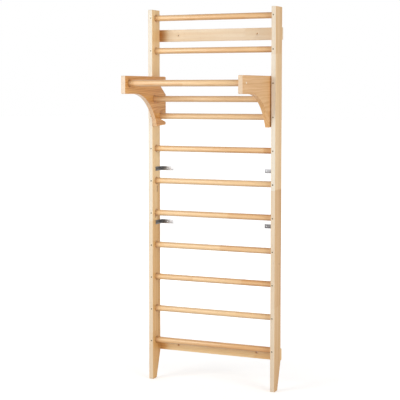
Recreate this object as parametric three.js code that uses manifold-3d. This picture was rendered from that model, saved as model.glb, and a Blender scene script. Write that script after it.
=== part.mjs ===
// Swedish wall bars: a wooden ladder of eleven rungs fixed to a wall, with a pull-up unit hung on two rungs.
// Millimetres, +Z up, +Y towards the wall, +X to the right of someone who faces the bars.
// The wall is the plane Y = 0. The origin is the middle of the upper wall board's back face.

import * as THREE from 'three';
import { mergeVertices } from 'three/addons/utils/BufferGeometryUtils.js';
import Module from 'manifold-3d';

// Ladder
const LADDER_WIDTH = 800; // over the outer faces of the stiles
const STILE_THICKNESS = 28;
const STILE_DEPTH = 98;
const STILE_TOP_MARGIN = 48; // above the axis of the top rung
const STILE_EDGE = 2; // chamfer along the stile's edges
const FOOT_DEPTH = 47; // depth of the stile where it meets the floor
const FOOT_TAPER_HEIGHT = 160; // the back edge leans forward below this height
const FOOT_ROUND = 9; // back corner of the foot
const RUNG_COUNT = 11;
const RUNG_DIAMETER = 35;
const RUNG_PITCH = 191;
const LOWEST_RUNG_HEIGHT = 232; // axis of the lowest rung above the floor
const RUNG_SEAT = 20; // depth of the blind bore in the stile

// Wall boards behind the stiles
const BOARD_HEIGHT = 70;
const BOARD_THICKNESS = 18;
const BOARD_EDGE = 2;
const UPPER_BOARD_DROP = 149; // middle of the upper board below the stile's top
const LOWER_BOARD_RISE = 3; // lower edge of the lower board above the foot's taper
const WALL_HOLE_SPACING = 500;
const WALL_HOLE_DIAMETER = 8;
const WALL_HOLE_SINK_DIAMETER = 14;
const WALL_HOLE_SINK_DEPTH = 4;

// Steel angles between the stiles and the wall
const ANGLE_LEG = 80;
const ANGLE_HEIGHT = 24;
const ANGLE_STEEL = 3;
const ANGLE_INNER_BEND = 3;
const ANGLE_HOLE_DIAMETER = 5;
const ANGLE_HOLE_INSET = 10; // first hole from the free end of a leg
const ANGLE_HOLE_PITCH = 30;
const ANGLE_HOLES = 2;
const UPPER_ANGLE_RUNG = 6; // counted from the floor
const UPPER_ANGLE_RISE = 70; // middle of the upper angles above that rung's axis
const LOWER_ANGLE_RUNG = 4;
const LOWER_ANGLE_RISE = 133;

// Pull-up unit
const HANGING_RUNG = 9; // the rung in the upper slot; the next one down is in the lower slot
const BRACKET_THICKNESS = 28;
const BRACKET_EDGE = 2;
const BRACKET_SIDE_PLAY = 6; // between the bracket and the stile
const ARM_REACH = 452; // front of the arm from the rung axis
const ARM_HEIGHT = 101;
const ARM_RISE = 41; // top of the arm above the upper rung's axis
const ARM_CORNER = 5;
const HOOK_BACK = 60; // back of the hooks behind the rung axis
const HOOK_CORNER = 8;
const HOOK_TAIL = 58; // lowest edge below the lower rung's axis
const HOOK_TAIL_RISE = 6; // rise of the lowest edge from the brace to the nose
const HOOK_SLOPE = 15; // degrees, the way the rungs leave the slots, down and back
const HOOK_CLEARANCE = 0.6; // round the rungs in the slots
const UPPER_MOUTH_DROP = 64; // lower lip of the upper slot below its rung's axis
const BRACE_START = 125; // flat underside of the arm before the hollow brace begins
const BRACE_RADIUS = 290;
const BAR_DIAMETER = 35;
const BAR_SOCKET = 18; // depth of the blind sockets in the brackets
const GRIP_BAR_SETBACK = 50; // grip bar axis behind the arm's front
const GRIP_BAR_DROP = 41; // grip bar axis below the arm's top
const STRETCHER_REACH = 89; // stretcher axis in front of the rung axis
const STRETCHER_DROP = 130; // stretcher axis below the arm's top
const PLUG_DIAMETER = 12;
const PLUG_BITE = 26; // length of the plug inside the grip bar

// Screws
const RUNG_SCREW_HEAD = 8;
const RUNG_SCREW_SHANK = 4;
const RUNG_SCREW_BITE = 14; // into the rung
const RUNG_SCREW_INSET = 11; // from the stile's inner face
const BOARD_SCREW_HEAD = 11;
const BOARD_SCREW_SHANK = 6;
const BOARD_SCREW_BITE = 34; // into the stile
const ANGLE_SCREW_HEAD = 9;
const ANGLE_SCREW_HEAD_HEIGHT = 2.6;
const ANGLE_SCREW_HEAD_RIM = 0.9; // upright part of the head
const ANGLE_SCREW_CROWN = 6; // flat top of the head
const ANGLE_SCREW_SHANK = 4;
const ANGLE_SCREW_BITE = 20; // into the stile
const SCREW_TIP = 4; // length of the point
const SUNK_HEAD_RIM = 0.5; // upright part of a countersunk head

// Fits and facets
const FIT = 0.3; // gap round a piece that sits in a hole
const OVERCUT = 1; // length of a cutting tool beyond the surface it enters or leaves
const ROUND_SIDES = 24;
const SCREW_SIDES = 8;
const ARC_STEPS = 6;

// Places that follow from the sizes
const stileHeight = LOWEST_RUNG_HEIGHT + (RUNG_COUNT - 1) * RUNG_PITCH + STILE_TOP_MARGIN;
const stileBack = -BOARD_THICKNESS;
const stileFront = stileBack - STILE_DEPTH;
const stileInner = LADDER_WIDTH / 2 - STILE_THICKNESS;
const stileMiddle = LADDER_WIDTH / 2 - STILE_THICKNESS / 2;
const rungAxis = stileFront + STILE_DEPTH / 2;
const rungEnd = stileInner + RUNG_SEAT - FIT;
const upperBoardHeight = stileHeight - UPPER_BOARD_DROP;
const lowerBoardHeight = FOOT_TAPER_HEIGHT + LOWER_BOARD_RISE + BOARD_HEIGHT / 2;
const bracketOuter = stileInner - BRACKET_SIDE_PLAY;
const bracketInner = bracketOuter - BRACKET_THICKNESS;
const barEnd = bracketInner + BAR_SOCKET - FIT;
const gripBarAxis = { y: -ARM_REACH + GRIP_BAR_SETBACK, z: ARM_RISE - GRIP_BAR_DROP };
const stretcherAxis = { y: -STRETCHER_REACH, z: ARM_RISE - STRETCHER_DROP };
const rungHeight = (number) => LOWEST_RUNG_HEIGHT + (number - 1) * RUNG_PITCH;
const numbered = (number) => String(number).padStart(2, '0');
const sides = [
  { name: 'left', sign: -1 },
  { name: 'right', sign: 1 },
];

const wasm = await Module();
wasm.setup();

// A closed geometry as a solid that can be joined and cut
function toSolid(geometry) {
  const bare = geometry.clone();
  bare.deleteAttribute('normal');
  bare.deleteAttribute('uv');
  const merged = mergeVertices(bare);
  const vertProperties = new Float32Array(merged.attributes.position.array);
  const triVerts = new Uint32Array(merged.index.array);
  return new wasm.Manifold(new wasm.Mesh({ numProp: 3, vertProperties, triVerts }));
}

// A solid back as a geometry with flat faces
function toGeometry(solid) {
  const mesh = solid.getMesh();
  const indexed = new THREE.BufferGeometry();
  indexed.setAttribute('position', new THREE.BufferAttribute(mesh.vertProperties, 3));
  indexed.setIndex(new THREE.BufferAttribute(mesh.triVerts, 1));
  const flat = indexed.toNonIndexed();
  flat.computeVertexNormals();
  return flat;
}

function cut(body, tools) {
  let solid = toSolid(body);
  for (const tool of tools) {
    solid = solid.subtract(toSolid(tool));
  }
  return toGeometry(solid);
}

// A round piece along +Y, from a list of [radius, distance] pairs that starts and ends on the axis
function turned(profile, count) {
  const points = profile.map(([radius, distance]) => new THREE.Vector2(radius, distance));
  return new THREE.LatheGeometry(points, count);
}

// A plain rod along +Y from one distance to another
function rod(diameter, from, to, count = ROUND_SIDES) {
  const radius = diameter / 2;
  return turned([[0, from], [radius, from], [radius, to], [0, to]], count);
}

// Turn a piece that runs along +Y so that it runs along X, towards the given sign
function alongX(geometry, sign) {
  return geometry.rotateZ(-sign * Math.PI / 2);
}

// A board cut from an outline, with chamfered edges, its thickness centred on the outline's plane
function chamferedBoard(outline, thickness, edge) {
  const board = new THREE.ExtrudeGeometry(outline, {
    depth: thickness - 2 * edge,
    bevelThickness: edge,
    bevelSize: edge,
    bevelOffset: -edge,
    bevelSegments: 1,
    curveSegments: ARC_STEPS,
  });
  return board.translate(0, 0, edge - thickness / 2);
}

// Outline x, y and thickness become Y, Z and X: a board that stands square to the wall
function standing(board) {
  const along = (x, y, z) => new THREE.Vector3(x, y, z);
  return board.applyMatrix4(new THREE.Matrix4().makeBasis(along(0, 1, 0), along(0, 0, 1), along(1, 0, 0)));
}

function piece(name, geometry, finish) {
  const mesh = new THREE.Mesh(geometry, new THREE.MeshStandardMaterial(finish));
  mesh.name = name;
  return mesh;
}

const paleWood = { color: 0xe6c796, roughness: 0.5, metalness: 0 };
const rungWood = { color: 0xdfb176, roughness: 0.45, metalness: 0 };
const plugWood = { color: 0xf0d6ac, roughness: 0.5, metalness: 0 };
const darkSteel = { color: 0x4a4540, roughness: 0.45, metalness: 1 };
const zincSteel = { color: 0xa9adb0, roughness: 0.4, metalness: 1 };

// Screws run along +Y from their head. The slack widens them into the hole that they sit in.
function countersunkScrew(head, shank, length, slack) {
  const headRadius = head / 2 + slack;
  const shankRadius = shank / 2 + slack;
  const rimEnd = SUNK_HEAD_RIM + slack;
  return turned([
    [0, -slack],
    [headRadius, -slack],
    [headRadius, rimEnd],
    [shankRadius, rimEnd + (head - shank) / 2],
    [shankRadius, length - SCREW_TIP + slack],
    [0, length + slack],
  ], SCREW_SIDES);
}

// The screw that holds an angle to its stile, along +Y from the underside of its raised head
function angleScrew() {
  const length = ANGLE_STEEL + ANGLE_SCREW_BITE;
  return turned([
    [0, -ANGLE_SCREW_HEAD_HEIGHT],
    [ANGLE_SCREW_CROWN / 2, -ANGLE_SCREW_HEAD_HEIGHT],
    [ANGLE_SCREW_HEAD / 2, -ANGLE_SCREW_HEAD_RIM],
    [ANGLE_SCREW_HEAD / 2, 0],
    [ANGLE_SCREW_SHANK / 2, 0],
    [ANGLE_SCREW_SHANK / 2, length - SCREW_TIP],
    [0, length],
  ], SCREW_SIDES);
}

// Each rung is locked by a screw through the stile's front edge
const rungScrewLength = rungAxis - RUNG_DIAMETER / 2 - stileFront + RUNG_SCREW_BITE;
const rungScrewPlace = stileInner + RUNG_SCREW_INSET;
const rungScrew = (slack) => countersunkScrew(RUNG_SCREW_HEAD, RUNG_SCREW_SHANK, rungScrewLength, slack);

// Each end of a wall board is screwed to the back of its stile
const boardScrewLength = BOARD_THICKNESS + BOARD_SCREW_BITE;
const boardScrew = (slack) => {
  return countersunkScrew(BOARD_SCREW_HEAD, BOARD_SCREW_SHANK, boardScrewLength, slack).rotateX(Math.PI);
};

const boards = [
  { name: 'upper', height: upperBoardHeight },
  { name: 'lower', height: lowerBoardHeight },
];
const angles = [
  { name: 'upper', height: rungHeight(UPPER_ANGLE_RUNG) + UPPER_ANGLE_RISE },
  { name: 'lower', height: rungHeight(LOWER_ANGLE_RUNG) + LOWER_ANGLE_RISE },
];
const angleHoles = Array.from({ length: ANGLE_HOLES }, (_, i) => ({
  name: numbered(i + 1),
  fromEnd: ANGLE_HOLE_INSET + i * ANGLE_HOLE_PITCH,
}));
const angleScrewY = (hole) => -ANGLE_LEG + hole.fromEnd;

function stile(side) {
  const outline = new THREE.Shape();
  const footBack = stileFront + FOOT_DEPTH;
  const lean = Math.atan2(STILE_DEPTH - FOOT_DEPTH, FOOT_TAPER_HEIGHT);
  // Centre of the arc that touches the floor and the leaning back edge
  const roundY = footBack - FOOT_ROUND * Math.tan(Math.PI / 4 - lean / 2);
  outline.moveTo(stileFront, 0);
  outline.lineTo(roundY, 0);
  outline.absarc(roundY, FOOT_ROUND, FOOT_ROUND, -Math.PI / 2, -lean, false);
  outline.lineTo(stileBack, FOOT_TAPER_HEIGHT);
  outline.lineTo(stileBack, stileHeight);
  outline.lineTo(stileFront, stileHeight);
  outline.closePath();
  const body = standing(chamferedBoard(outline, STILE_THICKNESS, STILE_EDGE));
  body.translate(side.sign * stileMiddle, 0, 0);

  const holes = [];
  for (let number = 1; number <= RUNG_COUNT; number += 1) {
    const bore = alongX(rod(RUNG_DIAMETER + 2 * FIT, -OVERCUT, RUNG_SEAT), side.sign);
    holes.push(bore.translate(side.sign * stileInner, rungAxis, rungHeight(number)));
    holes.push(rungScrew(FIT).translate(side.sign * rungScrewPlace, stileFront, rungHeight(number)));
  }
  for (const board of boards) {
    holes.push(boardScrew(FIT).translate(side.sign * stileMiddle, 0, board.height));
  }
  for (const angle of angles) {
    for (const hole of angleHoles) {
      const pilot = rod(ANGLE_SCREW_SHANK + 2 * FIT, -OVERCUT, ANGLE_SCREW_BITE + FIT, SCREW_SIDES);
      alongX(pilot, side.sign).translate(side.sign * stileInner, angleScrewY(hole), angle.height);
      holes.push(pilot);
    }
  }
  return piece(`stile_${side.name}`, cut(body, holes), paleWood);
}

function rung(number) {
  const body = alongX(rod(RUNG_DIAMETER, -rungEnd, rungEnd), 1).translate(0, rungAxis, 0);
  const holes = sides.map((side) => rungScrew(FIT).translate(side.sign * rungScrewPlace, stileFront, 0));
  const mesh = piece(`rung_${numbered(number)}`, cut(body, holes), rungWood);
  mesh.position.z = rungHeight(number);
  return mesh;
}

function rungScrewPiece(side, number) {
  const mesh = piece(`rung_screw_${side.name}_${numbered(number)}`, rungScrew(0), darkSteel);
  mesh.position.set(side.sign * rungScrewPlace, stileFront, rungHeight(number));
  return mesh;
}

function wallBoard(board) {
  const outline = new THREE.Shape();
  outline.moveTo(-LADDER_WIDTH / 2, -BOARD_HEIGHT / 2);
  outline.lineTo(LADDER_WIDTH / 2, -BOARD_HEIGHT / 2);
  outline.lineTo(LADDER_WIDTH / 2, BOARD_HEIGHT / 2);
  outline.lineTo(-LADDER_WIDTH / 2, BOARD_HEIGHT / 2);
  outline.closePath();
  const body = chamferedBoard(outline, BOARD_THICKNESS, BOARD_EDGE).rotateX(Math.PI / 2);
  body.translate(0, stileBack / 2, 0);
  const holes = [];
  for (const side of sides) {
    const wallHole = turned([
      [0, -OVERCUT],
      [WALL_HOLE_SINK_DIAMETER / 2, -OVERCUT],
      [WALL_HOLE_SINK_DIAMETER / 2, 0],
      [WALL_HOLE_DIAMETER / 2, WALL_HOLE_SINK_DEPTH],
      [WALL_HOLE_DIAMETER / 2, BOARD_THICKNESS + OVERCUT],
      [0, BOARD_THICKNESS + OVERCUT],
    ], ROUND_SIDES);
    holes.push(wallHole.translate(side.sign * WALL_HOLE_SPACING / 2, stileBack, 0));
    holes.push(boardScrew(FIT).translate(side.sign * stileMiddle, 0, 0));
  }
  const mesh = piece(`wall_board_${board.name}`, cut(body, holes), paleWood);
  mesh.position.z = board.height;
  return mesh;
}

function boardScrewPiece(board, side) {
  const mesh = piece(`board_screw_${board.name}_${side.name}`, boardScrew(0), zincSteel);
  mesh.position.set(side.sign * stileMiddle, 0, board.height);
  return mesh;
}

// An angle lies on the stile's inner face and on the wall, with its bend in the corner between them
function wallAngle(angle, side) {
  const outerBend = ANGLE_INNER_BEND + ANGLE_STEEL;
  const outline = new THREE.Shape();
  outline.moveTo(0, -ANGLE_LEG);
  outline.lineTo(0, -outerBend);
  outline.absarc(outerBend, -outerBend, outerBend, Math.PI, Math.PI / 2, true);
  outline.lineTo(ANGLE_LEG, 0);
  outline.lineTo(ANGLE_LEG, -ANGLE_STEEL);
  outline.lineTo(outerBend, -ANGLE_STEEL);
  outline.absarc(outerBend, -outerBend, ANGLE_INNER_BEND, Math.PI / 2, Math.PI, false);
  outline.lineTo(ANGLE_STEEL, -ANGLE_LEG);
  outline.closePath();
  const body = new THREE.ExtrudeGeometry(outline, {
    depth: ANGLE_HEIGHT,
    bevelEnabled: false,
    curveSegments: ARC_STEPS,
  });
  body.translate(0, 0, -ANGLE_HEIGHT / 2);
  const holes = [];
  for (const hole of angleHoles) {
    const drill = () => rod(ANGLE_HOLE_DIAMETER, -OVERCUT, ANGLE_STEEL + OVERCUT);
    holes.push(alongX(drill(), 1).translate(0, angleScrewY(hole), 0));
    holes.push(drill().translate(ANGLE_LEG - hole.fromEnd, -ANGLE_STEEL, 0));
  }
  const mesh = piece(`wall_angle_${angle.name}_${side.name}`, cut(body, holes), zincSteel);
  mesh.position.set(side.sign * stileInner, 0, angle.height);
  // The right-hand angle is the same piece, turned end for end about its bend
  if (side.sign > 0) {
    mesh.rotation.set(0, 0, -Math.PI / 2);
  }
  return mesh;
}

function angleScrewPiece(angle, side, hole) {
  const screw = alongX(angleScrew(), side.sign);
  const mesh = piece(`angle_screw_${angle.name}_${side.name}_${hole.name}`, screw, darkSteel);
  mesh.position.set(side.sign * (stileInner - ANGLE_STEEL), angleScrewY(hole), angle.height);
  return mesh;
}

// Outline of a hook bracket about the upper rung's axis: x towards the wall, y up
function bracketOutline() {
  const slope = THREE.MathUtils.degToRad(HOOK_SLOPE);
  const across = { y: Math.sin(slope), z: Math.cos(slope) };
  const seat = RUNG_DIAMETER / 2 + HOOK_CLEARANCE;
  const upper = 0;
  const lower = -RUNG_PITCH;
  const bottom = lower - HOOK_TAIL;
  const underArm = ARM_RISE - ARM_HEIGHT;
  const slotTop = (rungZ) => rungZ + (seat - HOOK_BACK * across.y) / across.z;
  const seatFrom = Math.PI / 2 - slope;
  const seatTo = seatFrom + Math.PI;
  // Radius of the nose that touches the lower slot, the back and the lowest edge
  const noseSpan = (HOOK_TAIL - HOOK_TAIL_RISE) * across.z - HOOK_BACK * across.y - seat;
  const nose = noseSpan / (1 - across.y + across.z);
  const noseY = HOOK_BACK - nose;
  const noseZ = bottom + HOOK_TAIL_RISE + nose;
  const braceY = -ARM_REACH + BRACE_START;
  const braceZ = underArm - BRACE_RADIUS;
  const braceFrom = Math.asin((bottom - braceZ) / BRACE_RADIUS);

  const outline = new THREE.Shape();
  outline.moveTo(-ARM_REACH + ARM_CORNER, ARM_RISE);
  outline.lineTo(HOOK_BACK - HOOK_CORNER, ARM_RISE);
  outline.absarc(HOOK_BACK - HOOK_CORNER, ARM_RISE - HOOK_CORNER, HOOK_CORNER, Math.PI / 2, 0, true);
  outline.lineTo(HOOK_BACK, slotTop(upper));
  outline.lineTo(seat * across.y, upper + seat * across.z);
  outline.absarc(0, upper, seat, seatFrom, seatTo, false);
  outline.lineTo(HOOK_BACK, upper - UPPER_MOUTH_DROP);
  outline.lineTo(HOOK_BACK, slotTop(lower));
  outline.lineTo(seat * across.y, lower + seat * across.z);
  outline.absarc(0, lower, seat, seatFrom, seatTo, false);
  outline.lineTo(noseY + nose * across.y, noseZ + nose * across.z);
  outline.absarc(noseY, noseZ, nose, seatFrom, -Math.PI / 2, true);
  outline.lineTo(braceY + BRACE_RADIUS * Math.cos(braceFrom), bottom);
  outline.absarc(braceY, braceZ, BRACE_RADIUS, braceFrom, Math.PI / 2, false);
  outline.lineTo(-ARM_REACH + ARM_CORNER, underArm);
  outline.absarc(-ARM_REACH + ARM_CORNER, underArm + ARM_CORNER, ARM_CORNER, -Math.PI / 2, -Math.PI, true);
  outline.lineTo(-ARM_REACH, ARM_RISE - ARM_CORNER);
  outline.absarc(-ARM_REACH + ARM_CORNER, ARM_RISE - ARM_CORNER, ARM_CORNER, Math.PI, Math.PI / 2, true);
  return outline;
}

function hookBracket(side) {
  const body = standing(chamferedBoard(bracketOutline(), BRACKET_THICKNESS, BRACKET_EDGE));
  body.translate(side.sign * (bracketInner + BRACKET_THICKNESS / 2), 0, 0);
  const socket = (axis) => {
    const bore = alongX(rod(BAR_DIAMETER + 2 * FIT, -OVERCUT, BAR_SOCKET), side.sign);
    return bore.translate(side.sign * bracketInner, axis.y, axis.z);
  };
  const plugHole = alongX(rod(PLUG_DIAMETER + 2 * FIT, 0, BRACKET_THICKNESS + OVERCUT), side.sign);
  plugHole.translate(side.sign * bracketInner, gripBarAxis.y, gripBarAxis.z);
  const holes = [socket(gripBarAxis), socket(stretcherAxis), plugHole];
  return piece(`hook_bracket_${side.name}`, cut(body, holes), paleWood);
}

function gripBar() {
  const body = alongX(rod(BAR_DIAMETER, -barEnd, barEnd), 1);
  const holes = sides.map((side) => {
    const bore = alongX(rod(PLUG_DIAMETER + 2 * FIT, -PLUG_BITE - FIT, OVERCUT), side.sign);
    return bore.translate(side.sign * barEnd, 0, 0);
  });
  const mesh = piece('grip_bar', cut(body, holes), rungWood);
  mesh.position.set(0, gripBarAxis.y, gripBarAxis.z);
  return mesh;
}

function stretcherBar() {
  const mesh = piece('stretcher_bar', alongX(rod(BAR_DIAMETER, -barEnd, barEnd), 1), rungWood);
  mesh.position.set(0, stretcherAxis.y, stretcherAxis.z);
  return mesh;
}

function gripBarPlug(side) {
  const plug = alongX(rod(PLUG_DIAMETER, barEnd - PLUG_BITE, bracketOuter), side.sign);
  const mesh = piece(`grip_bar_plug_${side.name}`, plug, plugWood);
  mesh.position.set(0, gripBarAxis.y, gripBarAxis.z);
  return mesh;
}

// The ladder stands with its feet at the height 0 of its own group
const ladder = new THREE.Group();
for (let number = 1; number <= RUNG_COUNT; number += 1) {
  ladder.add(rung(number));
}
for (const side of sides) {
  ladder.add(stile(side));
  for (let number = 1; number <= RUNG_COUNT; number += 1) {
    ladder.add(rungScrewPiece(side, number));
  }
  for (const board of boards) {
    ladder.add(boardScrewPiece(board, side));
  }
  for (const angle of angles) {
    ladder.add(wallAngle(angle, side));
    for (const hole of angleHoles) {
      ladder.add(angleScrewPiece(angle, side, hole));
    }
  }
}
for (const board of boards) {
  ladder.add(wallBoard(board));
}

// The pull-up unit hangs about the axis of its upper rung
const pullUpUnit = new THREE.Group();
pullUpUnit.position.set(0, rungAxis, rungHeight(HANGING_RUNG));
pullUpUnit.add(gripBar(), stretcherBar());
for (const side of sides) {
  pullUpUnit.add(hookBracket(side), gripBarPlug(side));
}

const wallBars = new THREE.Group();
const standingGroup = new THREE.Group();
standingGroup.add(ladder, pullUpUnit);
standingGroup.position.z = -upperBoardHeight;
wallBars.add(standingGroup);

export default wallBars;
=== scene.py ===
import math

import bmesh
import bpy
from mathutils import Euler, Matrix, Vector


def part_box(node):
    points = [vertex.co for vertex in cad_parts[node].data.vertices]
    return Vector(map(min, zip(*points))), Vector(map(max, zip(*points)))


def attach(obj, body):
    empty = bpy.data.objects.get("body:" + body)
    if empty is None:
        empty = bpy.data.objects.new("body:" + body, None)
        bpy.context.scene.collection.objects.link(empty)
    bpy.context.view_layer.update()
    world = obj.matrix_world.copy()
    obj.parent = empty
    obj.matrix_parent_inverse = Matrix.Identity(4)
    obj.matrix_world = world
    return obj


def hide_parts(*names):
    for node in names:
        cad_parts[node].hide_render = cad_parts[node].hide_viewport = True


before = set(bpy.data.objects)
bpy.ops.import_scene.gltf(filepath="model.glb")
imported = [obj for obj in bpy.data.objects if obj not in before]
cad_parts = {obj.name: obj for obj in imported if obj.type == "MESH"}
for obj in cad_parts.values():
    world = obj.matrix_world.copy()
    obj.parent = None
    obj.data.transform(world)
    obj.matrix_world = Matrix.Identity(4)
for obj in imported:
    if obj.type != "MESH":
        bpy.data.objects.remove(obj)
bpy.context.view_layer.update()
scene = bpy.context.scene

# Sizes that the solids don't give by their corners, in metres

# Stiles, rungs and wall boards
FOOT_DEPTH = 0.047
FOOT_TAPER_HEIGHT = 0.160
FOOT_ROUND = 0.009
TAPER_KNEE = 0.030  # radius where the back edge starts to lean
PLANK_EDGE = 0.0026  # radius along the edges of the broad faces
PLANK_CORNER = 0.004  # radius of the outline's corners
RUNG_SEAT = 0.020  # depth of the bores for the rungs
BAR_EASE = 0.0016  # radius at the ends of rungs and bars
WALL_HOLE_REACH = 0.250  # from the middle of the board
WALL_HOLE_RADIUS = 0.004
WALL_HOLE_SINK_RADIUS = 0.007
WALL_HOLE_SINK_DEPTH = 0.004

# Steel angles
ANGLE_STEEL = 0.003
ANGLE_INNER_BEND = 0.003
ANGLE_CORNER = 0.0006  # radius of the profile's corners
ANGLE_EDGE = 0.0005  # radius along the sawn edges
ANGLE_HOLE_RADIUS = 0.0025
ANGLE_HOLES_FROM_END = (0.010, 0.040)

# Screws: a recess is the half width, half length and depth of a cross
SCREW_TIP = 0.004
SUNK_FACE = 0.0001  # face of a sunk head below the wood
SUNK_RIM = 0.0003  # its rounded rim
SUNK_CONE = 0.0006  # start of its cone
RUNG_SCREW_INSET = 0.011  # from the stile's inner face
RUNG_SCREW_SHANK = 0.002
RUNG_SCREW_RECESS = (0.0006, 0.0024, 0.0014)
BOARD_SCREW_SHANK = 0.003
BOARD_SCREW_RECESS = (0.0008, 0.0034, 0.0020)
ANGLE_SCREW_SHANK = 0.002
ANGLE_SCREW_RECESS = (0.0006, 0.0026, 0.0014)
ANGLE_SCREW_RISE = 0.0026  # head above the steel
ANGLE_SCREW_DOME = 0.0017  # height of its dome
ANGLE_SCREW_RIM = 0.0007  # its upright rim
DOME_TURNS = (0.35, 0.7, 1.05, 1.35)  # radians from the top of the dome

# Screw holes: where the cone starts and ends, and the radius of the bore
RUNG_SCREW_HOLE = (0.0006, 0.0029, 0.0022)
RUNG_SCREW_HOLE_DEPTH = 0.033
BOARD_SCREW_HOLE = (0.0008, 0.0034, 0.0033)

# Pull-up unit
ARM_HEIGHT = 0.101
ARM_CORNER = 0.005
HOOK_CORNER = 0.008
HOOK_TIP = 0.003  # radius at the upper lip of a slot
HOOK_LIP = 0.005  # radius at the lower lip of the upper slot
HOOK_SLOPE = math.radians(15)  # of the slots, down and back
HOOK_TAIL_RISE = 0.006  # of the lowest edge, from the brace to the back
HOOK_CLEARANCE = 0.0006  # round the rungs in the slots
UPPER_MOUTH_DROP = 0.064  # lower lip of the upper slot below its rung's axis
BRACE_START = 0.125  # flat underside of the arm in front of the brace
BRACE_RADIUS = 0.290
BRACKET_EDGE = 0.003
BAR_SOCKET = 0.018
PLUG_CROWN = 0.0003  # how far a plug's end is domed
PLUG_RIM = 0.0004
PLUG_DOME_MIDDLE = 0.6  # share of the radius where it is domed by a third of that

# Fits and fineness
FIT = 0.0003  # gap round a piece that sits in a hole
OVERCUT = 0.001  # length of a cutter beyond the face that it enters or leaves
SAME_POINT = 1e-6  # nearer points of an outline are one
SEAM_GAP = 1e-7  # nearer corners of a mesh are one
SHARP_BEND = math.radians(35)  # faces that meet at a larger angle have a sharp arris
ROUND_SIDES = 64
HOLE_SIDES = 40
SCREW_SIDES = 24
ARC_STEPS = 8
HOLLOW_STEPS = 24
EDGE_STEPS = 3
STEEL_EDGE_STEPS = 2

# Fixed seeds of the pieces that are made as copies
SEEDS = {
    "rungs": 5797,
    "pull_up_bars": 21186,
    "grip_bar_plugs": 1,
    "wall_angles": 2021,
    "rung_screws": 3,
    "board_screws": 5,
    "angle_screws": 7,
}

SIDES = {"left": -1, "right": 1}
LEVELS = ("upper", "lower")
BARS = ("grip_bar", "stretcher_bar")
RUNGS = sorted(name[-2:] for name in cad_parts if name[:-2] == "rung_")  # from the lowest
UPPER_SLOT_RUNG = "09"
LOWER_SLOT_RUNG = "08"


def middle(node):
    low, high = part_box(node)
    return (low + high) / 2


def half_size(node):
    low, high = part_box(node)
    return (high - low) / 2


def sign_of(node):
    """-1 for a piece on the left, 1 for a piece on the right."""
    return SIDES["left"] if "_left" in node else SIDES["right"]


rung_radius = half_size("rung_01").z
rung_y = middle("rung_01").y
rung_z = {number: middle(f"rung_{number}").z for number in RUNGS}
right_stile_low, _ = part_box("stile_right")
stile_inner = right_stile_low.x
floor_z = right_stile_low.z


# Nodes: one class for the outputs, one for the trees


class Sock:
    """An output of a node. Sums and products with it add Math nodes to its tree."""

    def __init__(self, recipe, socket):
        self.recipe = recipe
        self.socket = socket

    def out(self, name):
        return Sock(self.recipe, self.socket.node.outputs[name])

    def math(self, operation, *values):
        return self.recipe.add("ShaderNodeMath", {"operation": operation}, dict(enumerate(values)))

    def __add__(self, other):
        return self.math("ADD", self, other)

    def __radd__(self, other):
        return self.math("ADD", other, self)

    def __sub__(self, other):
        return self.math("SUBTRACT", self, other)

    def __rsub__(self, other):
        return self.math("SUBTRACT", other, self)

    def __mul__(self, other):
        return self.math("MULTIPLY", self, other)

    def __rmul__(self, other):
        return self.math("MULTIPLY", other, self)

    def __truediv__(self, other):
        return self.math("DIVIDE", self, other)

    def __rtruediv__(self, other):
        return self.math("DIVIDE", other, self)

    def __pow__(self, other):
        return self.math("POWER", self, other)

    def __abs__(self):
        return self.math("ABSOLUTE", self)

    def least(self, other):
        return self.math("MINIMUM", self, other)

    def most(self, other):
        return self.math("MAXIMUM", self, other)

    def part(self):
        return self.math("FRACT", self)

    def whole(self):
        return self.math("FLOOR", self)

    def step(self, start, end, low=0.0, high=1.0):
        """Goes smoothly from low at start to high at end."""
        settings = {"interpolation_type": "SMOOTHSTEP"}
        values = {"Value": self, "From Min": start, "From Max": end, "To Min": low, "To Max": high}
        return self.recipe.add("ShaderNodeMapRange", settings, values)


class Recipe:
    """The tree of a material, of the world or of a Geometry Nodes modifier."""

    def __init__(self, tree):
        self.tree = tree

    def add(self, kind, settings=None, values=None, output=0):
        """Makes a node, sets it, fills or links its inputs, and gives one of its outputs, if it has any."""
        node = self.tree.nodes.new(kind)
        for name, value in (settings or {}).items():
            setattr(node, name, value)
        for key, value in (values or {}).items():
            if isinstance(value, Sock):
                self.tree.links.new(value.socket, node.inputs[key])
            else:
                node.inputs[key].default_value = value
        return Sock(self, node.outputs[output]) if len(node.outputs) else None

    def attribute(self, name):
        return self.add("ShaderNodeAttribute", {"attribute_name": name}, None, "Fac")

    def vector(self, x, y, z):
        return self.add("ShaderNodeCombineXYZ", None, {0: x, 1: y, 2: z})

    def noise(self, vector, scale, detail, roughness):
        values = {"Vector": vector, "Scale": scale, "Detail": detail, "Roughness": roughness}
        return self.add("ShaderNodeTexNoise", {"noise_dimensions": "3D"}, values)

    def mix(self, share, first, second):
        """A colour between two others. The numbers are the sockets that a Mix node has for colours."""
        settings = {"data_type": "RGBA", "clamp_factor": True}
        return self.add("ShaderNodeMix", settings, {0: share, 6: first, 7: second}, 2)

    def dull(self, colour, share):
        """The colour times a number."""
        grey = self.vector(share, share, share)
        return self.add("ShaderNodeVectorMath", {"operation": "MULTIPLY"}, {0: colour, 1: grey})


def paint(red, green, blue):
    """A colour as it is picked on a screen, from 0 to 255, for a socket."""

    def linear(value):
        value /= 255
        return value / 12.92 if value <= 0.04045 else ((value + 0.055) / 1.055) ** 2.4

    return (linear(red), linear(green), linear(blue), 1.0)


def finish_named(name):
    material = bpy.data.materials.new(name)
    material.use_nodes = True
    material.node_tree.nodes.clear()
    return material, Recipe(material.node_tree)


def close_finish(recipe, values):
    shader = recipe.add("ShaderNodeBsdfPrincipled", None, values)
    recipe.add("ShaderNodeOutputMaterial", None, {"Surface": shader})


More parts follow.
